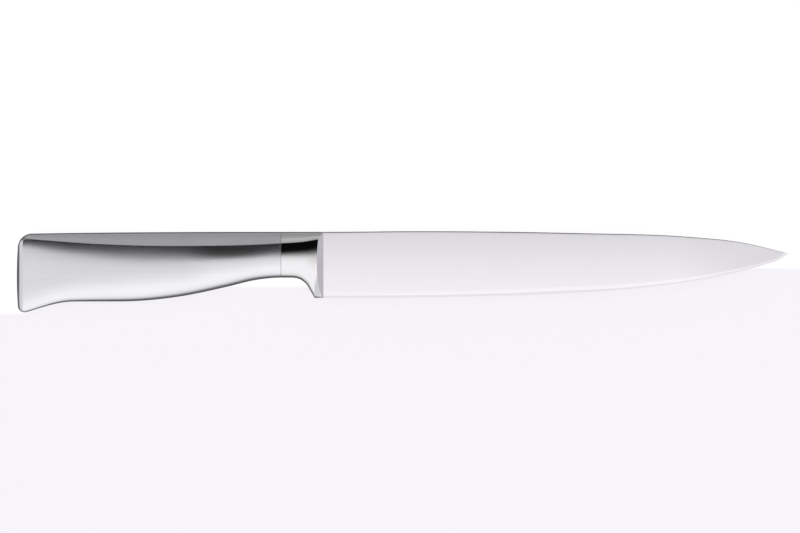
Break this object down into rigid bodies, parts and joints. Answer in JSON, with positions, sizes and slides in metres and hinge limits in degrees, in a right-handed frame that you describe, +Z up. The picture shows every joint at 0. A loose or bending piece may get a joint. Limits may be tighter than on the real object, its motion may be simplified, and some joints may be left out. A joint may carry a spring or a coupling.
{
  "type": "carving knife",
  "caption": "All-steel carving knife lying on its side: forged blade with bolster and finger guard, hollow satin handle flared at the butt.",
  "frame": {"origin": "centre of the knife's length and height on the surface that it lies on, under the widest line of the handle", "axes": "+X towards the tip, +Y towards the spine, +Z up through the thickness, so the knife lies on its left side"},
  "size_m": [0.332, 0.0348, 0.0172],
  "materials": {
    "blade_steel": "fine ground blade with a mirror polished bolster",
    "handle_steel": "matt satin",
    "weight_steel": "raw, out of sight inside the handle"
  },
  "bodies": {
    "root": {"blade": "blade_steel", "handle_shell_right": "handle_steel", "handle_shell_left": "handle_steel", "end_cap": "handle_steel", "balance_weight": "weight_steel"}
  },
  "joints": []
}
